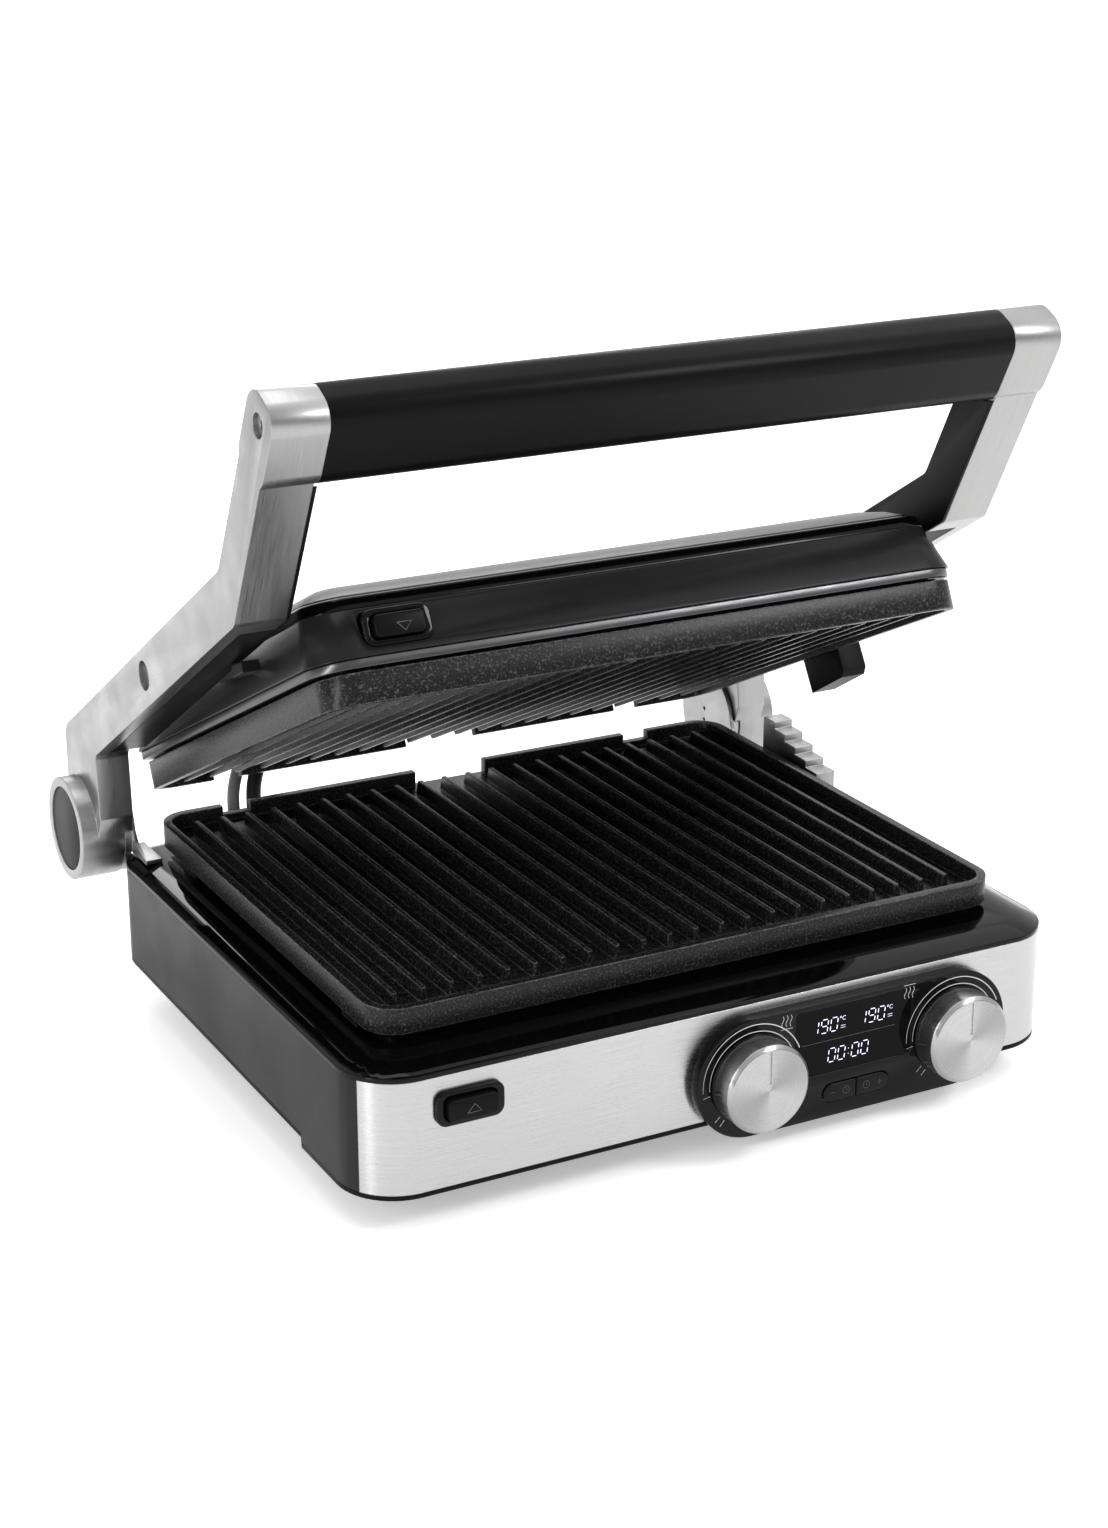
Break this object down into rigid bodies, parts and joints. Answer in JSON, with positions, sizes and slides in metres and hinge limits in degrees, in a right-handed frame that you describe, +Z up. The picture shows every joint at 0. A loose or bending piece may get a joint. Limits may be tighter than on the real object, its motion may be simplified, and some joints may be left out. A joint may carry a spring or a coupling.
{
  "type": "panini press",
  "caption": "Contact grill with two ribbed plates, a floating lid on swing arms with a bar handle, a height stop, dials, a timer display and a drip tray.",
  "frame": {"origin": "middle of the box around the whole part, on the surface it stands on", "axes": "+X across to the right as the user sees it, +Y from the dials to the hinge, +Z up"},
  "size_m": [0.3776, 0.3375, 0.3349],
  "materials": {
    "steel": "brushed, running across",
    "side": "satin charcoal",
    "black_gloss": "glossy black",
    "black_matte": "fine satin black",
    "plate": "granular non-stick coating",
    "cast": "satin cast and brushed",
    "metal": "turned",
    "screen": "glossy",
    "board": "solder mask",
    "element": "heat-browned",
    "reflector": "rolled",
    "ceramic": "steatite",
    "lid_side": "satin charcoal",
    "lid_top": "satin grey metallic",
    "trim": "satin",
    "braid": "grey braid",
    "rubber": "matte",
    "dial": "spun"
  },
  "bodies": {
    "base": {"base_housing": "side", "front_panel": "steel", "base_top_frame": "black_gloss", "bottom_cover": "black_matte", "feet": "rubber", "control_panel": "black_gloss", "display_lens": "screen", "display_module": "screen", "control_board": "board", "left_potentiometer": "metal", "right_potentiometer": "metal", "lower_release_bezel": "black_gloss", "lower_plate": "plate", "lower_heating_element": "element", "lower_reflector": "reflector", "lower_thermostat": "ceramic", "left_hinge_bracket": "cast", "right_hinge_bracket": "cast", "left_hinge_pin": "metal", "right_hinge_pin": "metal", "height_step_rack": "cast", "lead_grommet": "rubber", "braided_lead": "braid", "sleeved_lead": "rubber", "mains_gland": "rubber"},
    "arms": {"left_arm": "cast", "right_arm": "cast", "left_arm_cover": "black_matte", "right_arm_cover": "black_matte", "left_hub_cap": "black_matte", "right_hub_cap": "black_matte", "handle_grip": "black_matte", "handle_rod": "metal", "handle_bolts": "metal", "stop_guide_rail": "black_matte"},
    "lid": {"upper_plate": "plate", "lid_trim_ring": "trim", "lid_shell": "lid_side", "lid_band": "black_gloss", "lid_top_cover": "lid_top", "upper_release_bezel": "black_gloss", "upper_heating_element": "element", "upper_reflector": "reflector", "upper_thermostat": "ceramic", "left_pivot_pin": "metal", "right_pivot_pin": "metal", "tilt_stop_lugs": "lid_side"},
    "stop": {"height_stop": "black_matte"},
    "left_knob": {"left_dial": "dial", "left_dial_spindle": "metal"},
    "right_knob": {"right_dial": "dial", "right_dial_spindle": "metal"},
    "minus_key": {"minus_button": "black_gloss"},
    "plus_key": {"plus_button": "black_gloss"},
    "lower_key": {"lower_release_button": "black_matte", "lower_release_latch": "metal"},
    "upper_key": {"upper_release_button": "black_matte", "upper_release_latch": "metal"},
    "tray": {"drip_tray": "black_matte"}
  },
  "joints": [
    {"name": "arm_hinge", "type": "hinge", "parent": "base", "child": "arms", "pos_m": [0, 0.144, 0.0805], "axis": [-1, 0, 0], "range_deg": [-25.8, 140], "deforming": ["braided_lead", "sleeved_lead"]},
    {"name": "lid_tilt", "type": "hinge", "parent": "arms", "child": "lid", "pos_m": [0, 0.04521, 0.18335], "axis": [1, 0, 0], "range_deg": [0, 12]},
    {"name": "height_stop_slide", "type": "slide", "parent": "arms", "child": "stop", "axis": [0, 0.8526, -0.5225], "range_m": [0, 0.047]},
    {"name": "left_knob_turn", "type": "hinge", "parent": "base", "child": "left_knob", "pos_m": [0.0065, -0.155, 0.0353], "axis": [0, 1, 0], "range_deg": [-150, 120]},
    {"name": "right_knob_turn", "type": "hinge", "parent": "base", "child": "right_knob", "pos_m": [0.1085, -0.155, 0.0353], "axis": [0, 1, 0], "range_deg": [0, 300]},
    {"name": "minus_press", "type": "slide", "parent": "base", "child": "minus_key", "axis": [0, 1, 0], "range_m": [0, 0.001], "stiffness_N_per_m": 1500, "springref_m": -0.0005},
    {"name": "plus_press", "type": "slide", "parent": "base", "child": "plus_key", "axis": [0, 1, 0], "range_m": [0, 0.001], "stiffness_N_per_m": 1500, "springref_m": -0.0005},
    {"name": "lower_release_press", "type": "slide", "parent": "base", "child": "lower_key", "axis": [0, 1, 0], "range_m": [0, 0.0025], "stiffness_N_per_m": 2000, "springref_m": -0.001},
    {"name": "upper_release_press", "type": "slide", "parent": "lid", "child": "upper_key", "axis": [0, 0.9003, -0.4352], "range_m": [0, 0.0025], "stiffness_N_per_m": 2000, "springref_m": -0.001},
    {"name": "tray_slide", "type": "slide", "parent": "base", "child": "tray", "axis": [0, -1, 0], "range_m": [-0.11, 0]}
  ]
}
